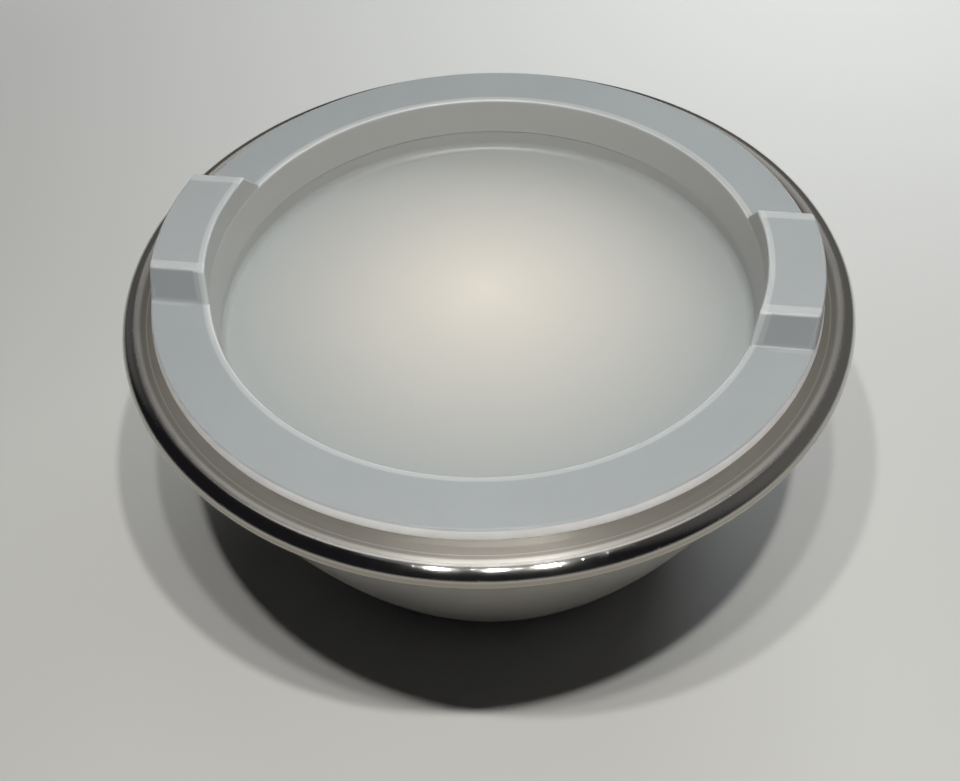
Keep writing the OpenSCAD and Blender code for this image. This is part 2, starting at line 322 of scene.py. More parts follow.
class Studio(bpy.types.PropertyGroup):
    """Floor, lamps and camera"""
    floor: tint("Floor", (0.545, 0.555, 0.55))
    lamp_power: power("Lamp power", 0.60, "Power of each small lamp")
    lamp_r: length("Lamp radius", 8 * MM)
    soft_power: power("Soft light power", 0.20, "Power of the large soft light")
    side_power: power("Side light power", 0.55, "Power of the soft light at the right")
    # Painted glow that makes the floor paler towards the back, seen by the camera and in mirrors
    floor_back_glow: share("Floor lift", 0.42, "How far the far floor keeps its paleness as the light falls off")
    edge_lift: share("Edge lift", 0.8, "How far the floor's far edge keeps its paleness for the camera")
    backdrop: tint("Backdrop", (0.46, 0.465, 0.46), "What the camera sees past the floor's edge")
    room: tint("Dark room", (0.010, 0.010, 0.012))
    room_back: tint("Pale wall behind", (1.0, 0.98, 0.94), "The wall that the rim's crest mirrors")
    room_left: tint("Dim wall at the left", (0.09, 0.09, 0.088))
    room_right: tint("Dim wall at the right", (0.12, 0.117, 0.112))
    turned: turn("Turn of the bowl", 10.0, "How far the bowl is turned under the camera")


# Profiles

def arc(centre, radius, start, end, step=ARC_STEP):
    """Points of an arc, with angles in degrees, one every few degrees"""
    n = max(2, int(math.ceil(abs(end - start) / step)),
            int(math.ceil(abs(math.radians(end - start)) * radius / LONGEST_CHORD)))
    a = np.radians(np.linspace(start, end, n + 1))
    return np.column_stack([centre[0] + radius * np.cos(a), centre[1] + radius * np.sin(a)])


def degrees_of(v):
    return math.degrees(math.atan2(v[1], v[0]))


def rounded(points, closed=True):
    """An outline given as (x, y, corner radius), with its corners rounded"""
    out, n = [], len(points)
    for i, (x, y, r) in enumerate(points):
        here = np.array([x, y])
        if r <= 0 or (not closed and i in (0, n - 1)):
            out.append(here[None])
            continue
        a = np.array(points[i - 1][:2]) - here
        b = np.array(points[(i + 1) % n][:2]) - here
        a, b = a / np.linalg.norm(a), b / np.linalg.norm(b)
        half = math.acos(np.clip(a @ b, -1, 1)) / 2
        middle = here + (a + b) / np.linalg.norm(a + b) * r / math.sin(half)
        start = degrees_of(here + a * r / math.tan(half) - middle)
        swing = math.copysign(180 - 2 * math.degrees(half), a[1] * b[0] - a[0] * b[1])
        out.append(arc(middle, r, start, start + swing, CORNER_STEP))
    return np.vstack(out)


def beside(line, d):
    """A line moved sideways by d, to its left"""
    along = np.gradient(line, axis=0)
    along[1:-1] = line[2:] - line[:-2]
    along /= np.linalg.norm(along, axis=1)[:, None]
    return line + d * np.column_stack([-along[:, 1], along[:, 0]])


def sheet_outline(line, thickness):
    """Closed outline of a sheet formed along a mid line that starts on the axis, with a rounded free end"""
    right, left = beside(line, -thickness / 2), beside(line, thickness / 2)
    right[0, 0] = left[0, 0] = 0.0
    tip = line[-1] - line[-2]
    start = degrees_of(tip) - 90
    end = arc(line[-1], thickness / 2, start, start + 180, SHEET_END_STEP)
    return np.vstack([right[:-1], end, left[::-1][1:]])


class Form:
    """The bowl's working points, all derived from its named sizes"""

    def __init__(self, b, l):
        self.b, self.l = b, l
        t = b.sheet_t
        self.bead = np.array([b.rim_r - b.bead_r, b.height - b.bead_r])
        self.hem_r = b.bead_r - t - b.seam_gap - t / 2
        self.shell_mid = t / 2
        self.liner_mid = t + b.air_gap + t / 2
        self.side_c = self.far_meeting(self.bead, b.side_r + self.hem_r - t / 2,
                                       np.array([b.base_r, 0.0]), b.side_r)
        self.neck_z = b.height - b.neck_depth
        self.neck_r = self.side_at(self.neck_z, self.liner_mid) - t / 2
        self.floor_z = b.foot_rise + t + b.air_gap + t / 2
        a = b.slope_angle
        self.slope_top = self.bead + (b.bead_r - t / 2) * np.array([-math.sin(a), math.cos(a)])
        self.crease = self.slope_top - b.slope_l * np.array([math.cos(a), math.sin(a)])
        self.ring_z = l.top - l.ear_h
        self.lid_r = b.rim_r - l.reveal
        self.ring_r = self.lid_r - l.edge_flare
        self.recess_r = self.lid_r - l.ring_w
        self.disc_z = self.ring_z - l.recess_depth
        self.step_z = self.ring_z - l.step_depth
        self.wall_r = self.recess_r + l.wall_t
        self.plug_r = self.neck_r - l.plug_gap
        self.plug_z = b.height - l.plug_depth
        self.lip_top = self.ledge(self.neck_r) - t
        self.lip_r = self.neck_r - l.seal_gap
        self.hem_inner_r = self.ring_r - l.wall_t
        self.rib_r = self.plug_r + l.wall_t
        self.collar_r = self.neck_r + l.collar_reach
        self.collar_z = self.ledge(self.collar_r) + l.seal_gap
        self.rib_z = self.collar_z + l.collar_t + l.seat_gap
        self.soft_r = l.wall_t / 4

    @staticmethod
    def far_meeting(a, ra, b, rb):
        """The point at these distances from a and b that lies on the axis's side of both"""
        d = np.linalg.norm(b - a)
        u = (b - a) / d
        k = (ra * ra - rb * rb + d * d) / (2 * d)
        return a + k * u + math.sqrt(ra * ra - k * k) * np.array([u[1], -u[0]])

    def side_at(self, z, depth):
        """Radius of the curved side at this height and this deep inside it"""
        return self.side_c[0] + math.sqrt((self.b.side_r - depth) ** 2 - (z - self.side_c[1]) ** 2)

    def corner(self, z, depth, r):
        """Centre of a corner of this radius between a level at z and the curved side"""
        reach = math.sqrt((self.b.side_r - depth - r) ** 2 - (z + r - self.side_c[1]) ** 2)
        return np.array([self.side_c[0] + reach, z + r])

    def ledge(self, r):
        """Height of the ledge's upper face at this radius"""
        a = self.b.ledge_angle
        return self.crease[1] - (self.crease[0] - r) * math.tan(a) + self.b.sheet_t / 2 / math.cos(a)

    def shell_line(self):
        """Mid line of the outer shell's sheet, from the axis to its end inside the rolled edge"""
        b, mid = self.b, self.shell_mid
        c = self.corner(0, 0, b.base_corner_r)
        foot_in, bend = c[0] - b.foot_w, b.foot_rise / 2
        base = rounded([(0, b.foot_rise + mid, 0), (foot_in - b.foot_rise, b.foot_rise + mid, bend),
                        (foot_in, mid, bend), (c[0], mid, 0)], False)
        low, high = degrees_of(c - self.side_c), degrees_of(self.bead - self.side_c)
        return np.vstack([base[:-1], arc(c, b.base_corner_r - mid, -90, low),
                          arc(self.side_c, b.side_r - mid, low, high)[1:],
                          arc(self.bead, self.hem_r, high + 180, -math.degrees(b.curl_under))[1:]])

    def liner_line(self):
        """Mid line of the liner's sheet, from the axis to the end of its rolled edge"""
        b, mid, t = self.b, self.liner_mid, self.b.sheet_t
        c = self.corner(self.floor_z, mid, b.floor_corner_r)
        neck = self.neck_r + t / 2
        end = (neck, self.crease[1] - (self.crease[0] - neck) * math.tan(b.ledge_angle), 2 * t)
        low, high = degrees_of(c - self.side_c), degrees_of(np.array([neck, self.neck_z]) - self.side_c)
        top = rounded([(neck, self.neck_z, 0), end, (*self.crease, 4 * t), (*self.slope_top, 0)], False)
        curl = math.degrees(b.curl_under)
        return np.vstack([[[0, self.floor_z]], arc(c, b.floor_corner_r, -90, low),
                          arc(self.side_c, b.side_r - mid, low, high)[1:], top[1:],
                          arc(self.bead, b.bead_r - t / 2, 90 + math.degrees(b.slope_angle), -90 - curl,
                              ROLL_STEP)[1:]])

    def lid_outline(self):
        """Half section of the lid without its ears"""
        l, soft = self.l, self.soft_r
        step_r, under = self.recess_r - l.wall_lean, self.ring_z - l.wall_t
        foot, hem, tiny = step_r + l.step_w, self.hem_inner_r, soft / 3
        flange_z, low_z = self.plug_z + l.wall_t, self.disc_z - l.wall_t
        lean = (self.wall_r - foot - l.wall_t) / (self.step_z - low_z)
        return rounded([
            (0, self.disc_z, 0), (foot, self.disc_z, l.wall_t), (foot, self.step_z - l.step_w, tiny),
            (step_r, self.step_z, tiny), (self.recess_r, self.ring_z, l.wall_t / 2),
            (self.ring_r, self.ring_z, soft), (self.lid_r, self.ring_z - l.edge_h, soft),
            (hem, self.ring_z - l.edge_h, tiny), (hem, under, tiny), (self.rib_r, under, tiny),
            (self.rib_r, self.rib_z, tiny), (self.plug_r, self.rib_z, tiny), (self.plug_r, under, tiny),
            (self.wall_r, under, tiny), (self.wall_r, self.step_z, 0),
            (self.wall_r - lean * (self.step_z - flange_z), flange_z, tiny), (self.plug_r, flange_z, soft),
            (self.plug_r, self.plug_z, soft),
            (self.wall_r - lean * (self.step_z - self.plug_z), self.plug_z, 0),
            (foot + l.wall_t, low_z, l.wall_t), (0, low_z, 0)])

    def seal_outline(self):
        """Half section of the seal, with its lips and its collar"""
        l = self.l
        root, body, lip = self.wall_r + l.seat_gap, self.lip_r - l.lip_reach, self.lip_r
        low, high, top = self.plug_z + l.wall_t + l.seat_gap, self.lip_top, self.collar_z + l.collar_t
        tip, under = l.collar_t / 2, self.ledge(lip) + l.seal_gap
        round_r = tip / 3
        return rounded([
            (root, low, round_r), (lip, low, round_r), (lip, low + tip, round_r), (body, low + 2 * tip, 0),
            (body, high - 2 * tip, 0), (lip, high - tip, round_r), (lip, under, round_r),
            (self.collar_r, self.collar_z, round_r), (self.collar_r, top, round_r), (root, top, round_r)])


# Meshes

def turned(outline):
    """Vertices and faces of an outline turned about the axis; points on the axis become one vertex each"""
    verts, rings = [], []
    a = np.linspace(0, 2 * math.pi, TURNS, endpoint=False)
    for r, z in outline:
        first = len(verts)
        if r < TINY:
            verts.append((0.0, 0.0, z))
            rings.append([first] * TURNS)
        else:
            verts.extend(zip(r * np.cos(a), r * np.sin(a), [z] * TURNS))
            rings.append(list(range(first, first + TURNS)))
    faces, n = [], len(outline)
    for i in range(n):
        low, high = rings[i], rings[(i + 1) % n]
        if low[0] == low[1] and high[0] == high[1]:
            continue
        for k in range(TURNS):
            m = (k + 1) % TURNS
            quad = [low[k], low[m], high[m], high[k]]
            faces.append(tuple(dict.fromkeys(quad)))
    return verts, faces


def piece(name, verts, faces):
    """A smooth-shaded mesh object whose faces all look outward"""
    mesh = bpy.data.meshes.new(name)
    mesh.from_pydata([tuple(map(float, v)) for v in verts], [], faces)
    bm = bmesh.new()
    bm.from_mesh(mesh)
    bmesh.ops.remove_doubles(bm, verts=bm.verts, dist=SAME_POINT)
    bmesh.ops.recalc_face_normals(bm, faces=bm.faces)
    bm.to_mesh(mesh)
    bm.free()
    mesh.shade_smooth()
    mesh.set_sharp_from_angle(angle=SHARP_EDGE)
    made = bpy.data.objects.new(name, mesh)
    bpy.context.scene.collection.objects.link(made)
    return made


def combine(target, other, operation):
    """Joins or cuts with another solid, which is then removed"""
    step = target.modifiers.new(operation.lower(), "BOOLEAN")
    step.operation, step.solver, step.object = operation, "EXACT", other
    apply_step(target, step)
    bpy.data.objects.remove(other)


def apply_step(target, step):
    """Writes a modifier's result into the mesh"""
    bpy.context.view_layer.update()
    graph = bpy.context.evaluated_depsgraph_get()
    mesh = bpy.data.meshes.new_from_object(target.evaluated_get(graph))
    old = target.data
    target.modifiers.remove(step)
    target.data = mesh
    bpy.data.meshes.remove(old)


def dress(made, material, body, node):
    """Gives a piece its material and its body, and hides the CAD node that it stands for"""
    made.data.materials.clear()
    made.data.materials.append(material)
    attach(made, body)
    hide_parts(node)


# Shader sums

class Wire:
    """A socket in a material's tree; sums of wires add their Math nodes"""

    def __init__(self, tree, socket=None):
        self.tree, self.socket = tree, socket

    def add(self, kind, settings=None, values=None, out=0):
        """A node of any kind: its settings are set first, then its sockets get values or links"""
        node = self.tree.nodes.new(kind)
        for key, value in (settings or {}).items():
            setattr(node, key, value)
        for key, value in (values or {}).items():
            socket = node.inputs[key]
            if isinstance(value, Wire):
                self.tree.links.new(value.socket, socket)
            else:
                socket.default_value = (*value, 1.0) if socket.type == "RGBA" and len(value) == 3 else value
        return Wire(self.tree, node.outputs[out])

    def sum(self, operation, other):
        return self.add("ShaderNodeMath", {"operation": operation}, {0: self, 1: other})

    def __add__(self, other):
        return self.sum("ADD", other)

    __radd__ = __add__

    def __sub__(self, other):
        return self.sum("SUBTRACT", other)

    def __rsub__(self, other):
        return self.add("ShaderNodeMath", {"operation": "SUBTRACT"}, {0: other, 1: self})

    def __mul__(self, other):
        return self.sum("MULTIPLY", other)

    __rmul__ = __mul__

    def __truediv__(self, other):
        return self.sum("DIVIDE", other)

    def __pow__(self, other):
        return self.sum("POWER", other)

    def ease(self, low, high):
        """0 below low, 1 above high, and a smooth rise between them"""
        return self.add("ShaderNodeMapRange", {"interpolation_type": "SMOOTHSTEP"},
                        {"Value": self, "From Min": low, "From Max": high})

    def past(self, edge, span):
        """An ease whose ends lie this far from an edge"""
        return self.ease(edge + span[0], edge + span[1])

    def between(self, first, second):
        """The colour that lies this share of the way from the first to the second"""
        return self.add("ShaderNodeMix", {"data_type": "RGBA"}, {0: self, 6: first, 7: second}, 2)

    def noise(self, scale, detail=2.0, roughness=0.5):
        return self.add("ShaderNodeTexNoise", {}, {"Vector": self, "Scale": scale, "Detail": detail,
                                                   "Roughness": roughness}, "Fac")


def finish_tree(name):
    """A new material with an empty tree, and wires of a point's place and of its x, y and z"""
    material = bpy.data.materials.new(name)
    material.use_nodes = True
    tree = material.node_tree
    tree.nodes.clear()
    start = Wire(tree)
    place = start.add("ShaderNodeTexCoord", out="Object")
    x = start.add("ShaderNodeSeparateXYZ", {}, {0: place}, "X")
    parts = x.socket.node
    return material, place, x, Wire(tree, parts.outputs["Y"]), Wire(tree, parts.outputs["Z"])


def close_tree(material, start, **sockets):
    """The surface shader at the end of a material's tree"""
    shader = start.add("ShaderNodeBsdfPrincipled", {}, {k.replace("_", " "): v for k, v in sockets.items()})
    end = material.node_tree.nodes.new("ShaderNodeOutputMaterial")
    material.node_tree.links.new(shader.socket, end.inputs["Surface"])
    return material


def relief(wire, strength, distance, height):
    """A bump of this strength and depth"""
    return wire.add("ShaderNodeBump", {}, {"Strength": strength, "Distance": distance, "Height": height})


def brush_lines(r, around, z):
    """Brush lines that run round the bowl: quick change across them and slow change along them"""
    grades = []
    for cells, along, noise, part in BRUSH_GRADES:
        place = r.add("ShaderNodeCombineXYZ", {}, {0: r * cells, 1: z * cells, 2: around * along})
        grades.append(place.noise(*noise) * part)
    fine, broad = grades
    return fine + broad


def steel_finish(name, looks, form, polished):
    """Brushed steel; the liner's rolled edge is polished, with painted sheen and reflections by it; painted
    shade runs on the shell under it
    """
    material, place, x, y, z = finish_tree(name)
    r = (x * x + y * y) ** 0.5
    around = x.add("ShaderNodeMath", {"operation": "ARCTAN2"}, {0: y, 1: x})
    lines = brush_lines(r, around, z)
    cloud = place.noise(*STEEL_CLOUDS)
    smudge = place.noise(*STEEL_SMUDGES).ease(*SMUDGE_SPAN)
    colour = lines.between(tuple(looks.steel_dark), tuple(looks.steel))
    satin = looks.satin_roughness if polished else looks.shell_roughness
    roughness = satin + lines * LINES_ROUGH + cloud * CLOUDS_ROUGH + smudge * SMUDGES_ROUGH
    metallic = 1.0
    if polished:
        crest, middle = form.bead
        bead = (r + (cloud - 0.5) * POLISH_WANDER).past(crest, POLISH_SPAN)
        specks = place.noise(*STEEL_SPECKS).ease(*SPECK_SPAN)
        dents = place.noise(*STEEL_DENTS)
        # Painted sheen on the slope just inside the crest, with a thin painted line that stands in for the
        # reflection of the lid's edge
        inner, outer = crest - REFLECTED_LINE_IN - REFLECTED_LINE_HALF, crest - REFLECTED_LINE_IN + REFLECTED_LINE_HALF
        reflected_line = r.ease(inner - REFLECTED_LINE_SOFT, inner) * (1 - r.ease(outer, outer + REFLECTED_LINE_SOFT))
        shining = reflected_line * REFLECTED_LINE_SHINE + r.past(crest, SHEEN_SPAN)
        colour = shining.ease(0.0, 1.0).between(colour, tuple(looks.bead))
        # Painted reflection, darker and warmer, on the lower half of the rolled edge
        underside = bead * (1 - z.past(middle, UNDERSIDE_SPAN))
        colour = underside.between(colour, tuple(looks.bead_under_reflection))
        marked = looks.bead_roughness + smudge * BEAD_MARKS_ROUGH + dents * BEAD_MARKS_ROUGH
        roughness = roughness * (1 - bead) + bead * marked
        metallic = 1 - (1 - bead) * looks.satin_bloom
        marks = specks * BEAD_SPECKS_HIGH + dents * BEAD_DENTS_HIGH
        height = lines * (1 - bead * BEAD_LINES_LOST) + marks * bead
    else:
        end = form.bead[1] - form.b.bead_r * math.cos(form.b.curl_under)
        # Painted shade on the shell just under the end of the rolled edge
        colour = z.past(end, SEAM_SHADE_SPAN).between(colour, tuple(looks.seam))
        height = lines
    return close_tree(material, x, Base_Color=colour, Metallic=metallic, Roughness=roughness,
                      Normal=relief(x, STEEL_BUMP, looks.brush_relief, height),
                      Anisotropic=looks.brushing if polished else looks.shell_brushing,
                      Anisotropic_Rotation=QUARTER_TURN)


def disc_colour(x, y, cloud, looks):
    """The sunk disc's colour, with a painted glow round one place near its middle"""
    glow_x, glow_y = x - GLOW_PLACE[0], y - GLOW_PLACE[1]
    away = (glow_x * glow_x + glow_y * glow_y) ** 0.5
    glow = 1 - away / GLOW_REACH + (cloud - 0.5) * GLOW_CLOUDS
    return glow.between(tuple(looks.disc_edge), tuple(looks.disc_glow))


def ring_colour(y, z, r, cloud, looks, form):
    """The ring's and the ears' colour: painted light along edges and on the ears, painted shade on the ears'
    sloped ends, a painted glow on the hem
    """
    l = form.l
    dim, bright = (tuple(c * k for c in looks.plastic) for k in PLASTIC_SHADES)
    flat = cloud.ease(*PLASTIC_CLOUD_SPAN).between(dim, bright)
    ends = y.add("ShaderNodeMath", {"operation": "ABSOLUTE"}, {0: y})
    foot_y, head_y = l.ear_l / 2, l.ear_l / 2 - l.ear_run
    raised = z.past(form.ring_z, RAISED_SPAN)
    inner_edge = 1 - r.past(form.recess_r, INNER_EDGE_SPAN)
    face = (raised * ends.past(head_y, FACE_HEAD_SPAN) * r.past(form.recess_r, FACE_INNER_SPAN)
            * (1 - r.past(form.ring_r, FACE_OUTER_SPAN)))
    end_band = ends.past(head_y, END_BAND_SPAN) * z.past(l.top, EAR_TOP_SPAN)
    foot_band = (ends.past(foot_y, FOOT_SPAN) * (1 - ends.past(foot_y, FOOT_END_SPAN))
                 * r.past(form.recess_r, FOOT_OUTWARD_SPAN) * (1 - raised))
    # Painted light: paler inner edges, bands along the ears' top ends, bands at their feet and paler raised
    # ears
    edges = (inner_edge * INNER_EDGE_PALE + end_band * END_BAND_PALE).ease(0.0, 1.0) * (1 - face)
    pale = edges + foot_band * FOOT_BAND_PALE + raised * RAISED_PALE
    # Painted shade on the ears' sloped ends
    top = face.between(pale.between(flat, tuple(looks.plastic_edge_light)), tuple(looks.plastic_end_shade))
    # Painted glow on the ring's outer edge and below it
    hem = 1 - z.past(form.ring_z, HEM_SPAN)
    return hem.between(top, tuple(looks.plastic_hem_glow))


def plastic_finish(name, looks, form):
    """Frosted moulded plastic: a painted glow on the sunk disc, painted light on its walls, edges and ears,
    and painted shade on the ears' ends
    """
    material, place, x, y, z = finish_tree(name)
    r = (x * x + y * y) ** 0.5
    grain = place.noise(*PLASTIC_GRAIN)
    cloud = place.noise(*PLASTIC_CLOUDS)
    inside = 1 - r.past(form.recess_r, INSIDE_SPAN)
    # Painted light: the recess wall and the ears' inner walls take a paler copy of the plastic
    wall = (1 - z.past(form.ring_z, WALL_TOP_SPAN)) * (1 - r.past(form.wall_r, WALL_FACE_SPAN))
    wall = wall + (1 - wall) * inside * (1 - z.past(form.l.top, EAR_WALL_SPAN))
    body = wall.between(ring_colour(y, z, r, cloud, looks, form), tuple(looks.plastic_wall_light))
    sunk = 1 - z.past(form.disc_z, SUNK_SPAN)
    colour = sunk.between(body, disc_colour(x, y, cloud, looks))
    uneven = (grain - 0.5) * GRAIN_ROUGH + (cloud - 0.5) * PLASTIC_CLOUDS_ROUGH
    return close_tree(material, x, Base_Color=colour, Roughness=looks.plastic_roughness + uneven,
                      IOR=PLASTIC_IOR, Normal=relief(x, PLASTIC_BUMP, looks.plastic_relief, grain),
                      Subsurface_Weight=PLASTIC_SUNK_SHARE, Subsurface_Radius=(1.0, 1.0, 1.0),
                      Subsurface_Scale=PLASTIC_SUNK_DEPTH)


def seal_finish(name, looks):
    """Soft pale rubber with a faint bloom"""
    material, place, *_ = finish_tree(name)
    bloom = place.noise(*SEAL_CLOUDS)
    colour = (bloom * SEAL_BLOOM).between(tuple(looks.seal), tuple(looks.seal_bloom))
    roughness = looks.seal_roughness + bloom * SEAL_CLOUDS_ROUGH
    return close_tree(material, place, Base_Color=colour, Roughness=roughness,
                      Normal=relief(place, SEAL_BUMP, looks.seal_relief, place.noise(*SEAL_GRAIN)))


def floor_finish(name, studio):
    """Plain pale floor with a barely seen mottle; a painted glow makes it paler towards the back, and far
    from the bowl it keeps its paleness
    """
    material, place, x, y, _ = finish_tree(name)
    pale = tuple(studio.floor)
    dim, bright = (tuple(min(1.0, c * k) for c in pale) for k in FLOOR_SHADES)
    colour = place.noise(*FLOOR_MOTTLE).between(dim, bright)
    # Painted glow towards the back, seen by the camera and in mirrors
    far = (x * FLOOR_GLOW_WAY[0] + y * FLOOR_GLOW_WAY[1]).ease(*FLOOR_GLOW_SPAN)
    wide = ((x * x + y * y) ** 0.5).ease(*FLOOR_EDGE_SPAN)
    camera = x.add("ShaderNodeLightPath", out="Is Camera Ray")
    seen = camera + x.add("ShaderNodeLightPath", out="Is Glossy Ray")
    lift = far * seen * studio.floor_back_glow + wide * camera * studio.edge_lift
    glow = lift.between((0.0, 0.0, 0.0), pale)
    return close_tree(material, x, Base_Color=colour, Roughness=FLOOR_ROUGHNESS, Emission_Color=glow,
                      Emission_Strength=1.0)


# Ears

def ear_plan(form, reach):
    """One ear from above where its ends lie this far from the middle: its outline, counter-clockwise, the
    direction out of it at each point, and how many of the points lie on the outer side"""
    l = form.l
    step = 2 * math.pi / TURNS

    def round_at(y, radius, corner, outside):
        """Centre and touching angle of the corner between the straight end at y and one of the two circles"""
        cy = y - math.copysign(corner, y)
        side = radius - corner if outside else radius + corner
        cx = math.sqrt(side * side - cy * cy)
        return np.array([cx, cy]), math.degrees(math.atan2(cy, cx)) + (0 if outside else 180)

    def along(radius, corner, outside):
        """Points of a circle; at the foot they lie at the steps of the turned body"""
        foot, here = (math.atan2(c[1], c[0]) for c in (
            round_at(end, radius, corner, outside)[0] for end in (l.ear_l / 2, reach)))
        k = math.floor(foot / step - TINY)
        a = np.arange(-k, k + 1) * (step * here / foot)
        return np.column_stack([radius * np.cos(a), radius * np.sin(a)])

    big, small, outer, inner = l.ear_corner_r, l.ear_inner_r, form.ring_r, form.recess_r
    c1, t1 = round_at(-reach, outer, big, True)
    c2, t2 = round_at(reach, outer, big, True)
    c3, t3 = round_at(reach, inner, small, False)
    c4, t4 = round_at(-reach, inner, small, False)
    far = np.vstack([arc(c1, big, -90, t1, EAR_CORNER_STEP), along(outer, big, True),
                     arc(c2, big, t2, 90, EAR_CORNER_STEP)])
    near = np.vstack([arc(c3, small, 90, t3, EAR_CORNER_STEP), along(inner, small, False)[::-1],
                      arc(c4, small, t4, 270, EAR_CORNER_STEP)])
    points = np.vstack([far, near])
    way = np.roll(points, -1, axis=0) - np.roll(points, 1, axis=0)
    way /= np.linalg.norm(way, axis=1)[:, None]
    return points, np.column_stack([way[:, 1], -way[:, 0]]), len(far)


def strip(points, first, second):
    """Triangles between two rows of points that both run from front to back"""
    faces, i, j = [], 0, 0
    while i < len(first) - 1 or j < len(second) - 1:
        first_next = i < len(first) - 1 and (
            j == len(second) - 1 or points[first[i + 1]][1] < points[second[j + 1]][1])
        if first_next:
            faces.append((first[i], first[i + 1], second[j]))
            i += 1
        else:
            faces.append((first[i], second[j + 1], second[j]))
            j += 1
    return faces


def ear_solid(form, name):
    """One ear towards +X: its foot flares into the ring, its ends slope and its top edges are rounded"""
    l = form.l
    top, edge, foot = l.top, l.ear_edge_r, l.ear_foot_r
    layers = [(form.ring_z - l.wall_t / 2, 0.0, foot)]
    for a in np.radians(np.linspace(0, 90, EAR_FOOT_LEVELS)):
        layers.append((form.ring_z + foot * (1 - math.cos(a)), 0.0, foot * (1 - math.sin(a))))
    for share_up in EAR_LEVEL_SHARES:
        layers.append((form.ring_z + share_up * l.ear_h, 0.0, 0.0))
    for a in np.radians(np.linspace(0, 90, EAR_EDGE_LEVELS)):
        layers.append((top - edge * (1 - math.sin(a)), edge * (1 - math.cos(a)), 0.0))
    verts = []
    for z, inset, flare in layers:
        risen = max(0.0, z - form.ring_z) / l.ear_h
        points, out, far = ear_plan(form, l.ear_l / 2 - l.ear_run * risen)
        ends = np.sign(out[:, 1]) * np.clip((np.abs(out[:, 1]) - EAR_END_SHARE) / (1 - EAR_END_SHARE), 0, 1)
        axial = points / np.linalg.norm(points, axis=1)[:, None]
        outward = np.clip((out * axial).sum(axis=1), 0, 1)
        place = points - out * inset - axial * (outward * l.ear_lean * risen)[:, None]
        place[:, 1] += ends * flare
        verts.extend((x, y, z) for x, y in place)
    n = len(points)
    near = list(range(n - 1, far - 1, -1))
    faces = []
    for j in range(len(layers) - 1):
        for i in range(n):
            m = (i + 1) % n
            faces.append((j * n + i, j * n + m, (j + 1) * n + m, (j + 1) * n + i))
    for level in (0, (len(layers) - 1) * n):
        faces += strip(verts, [level + k for k in range(far)], [level + k for k in near])
    return piece(name, verts, faces)


def ring_sector(name, inner, levels):
    """A block between two circles; each level has a height, an outer radius, a front end and a back end"""
    n = POCKET_POINTS
    verts = []
    for z, outer, front, back in levels:
        verts += [(math.sqrt(outer * outer - y * y), y, z) for y in np.linspace(front, back, n)]
        verts += [(math.sqrt(inner * inner - y * y), y, z) for y in np.linspace(back, front, n)]
    count = 2 * n
    faces = [(level * count + i, level * count + (i + 1) % count, (level + 1) * count + (i + 1) % count,
              (level + 1) * count + i) for level in range(len(levels) - 1) for i in range(count)]
    for level in (0, (len(levels) - 1) * count):
        faces += [(level + i, level + i + 1, level + count - 2 - i, level + count - 1 - i)
                  for i in range(n - 1)]
    return piece(name, verts, faces)


def ear_pockets(form):
    """The pockets that core one ear from below, in two rows of three, with ribs left between them"""
    l = form.l
    clear, under, high = l.seat_gap / 2, form.ring_z - l.wall_t, l.top - l.wall_t
    left = 1 - l.wall_t / l.ear_h
    foot = l.ear_l / 2 - l.wall_t * math.hypot(l.ear_h, l.ear_run) / l.ear_h
    last = POCKET_CELLS - 1
    cell = (2 * foot - last * l.rib_t) / POCKET_CELLS
    for inner, outer, lean in ((form.rib_r + clear, form.hem_inner_r - clear, l.ear_lean * left),
                               (form.wall_r + clear, form.plug_r - clear, 0.0)):
        for k in range(POCKET_CELLS):
            front = k * (cell + l.rib_t) - foot
            back = front + cell
            slope_front, slope_back = l.ear_run * left * (k == 0), l.ear_run * left * (k == last)
            yield ring_sector("pocket", inner, [
                (under - clear, outer, front, back), (form.ring_z, outer, front, back),
                (high, outer - lean, front + slope_front, back - slope_back)])


def mirror(made):
    """Moves a solid to the other side of the middle plane"""
    made.data.transform(Matrix.Scale(-1, 4, (1, 0, 0)))
    made.data.flip_normals()


# Operators

def form_of(context):
    """The working points for the sizes now set in the scene"""
    return Form(context.scene.bowl_sizes, context.scene.lid_sizes)


class BOWL_OT_outer_shell(bpy.types.Operator):
    """Forms the outer shell and gives it its brushed finish"""
    bl_idname = "bowl.outer_shell"
    bl_label = "Outer shell"

    def execute(self, context):
        form = form_of(context)
        made = piece("shell", *turned(sheet_outline(form.shell_line(), form.b.sheet_t)))
        finish = steel_finish("shell_steel", context.scene.bowl_finish, form, False)
        dress(made, finish, "bowl", "outer_shell")
        return {"FINISHED"}


class BOWL_OT_liner(bpy.types.Operator):
    """Forms the liner with its ledge and polished rolled rim"""
    bl_idname = "bowl.liner"
    bl_label = "Liner"

    def execute(self, context):
        form = form_of(context)
        made = piece("liner_rim", *turned(sheet_outline(form.liner_line(), form.b.sheet_t)))
        finish = steel_finish("liner_steel", context.scene.bowl_finish, form, True)
        dress(made, finish, "bowl", "liner")
        return {"FINISHED"}


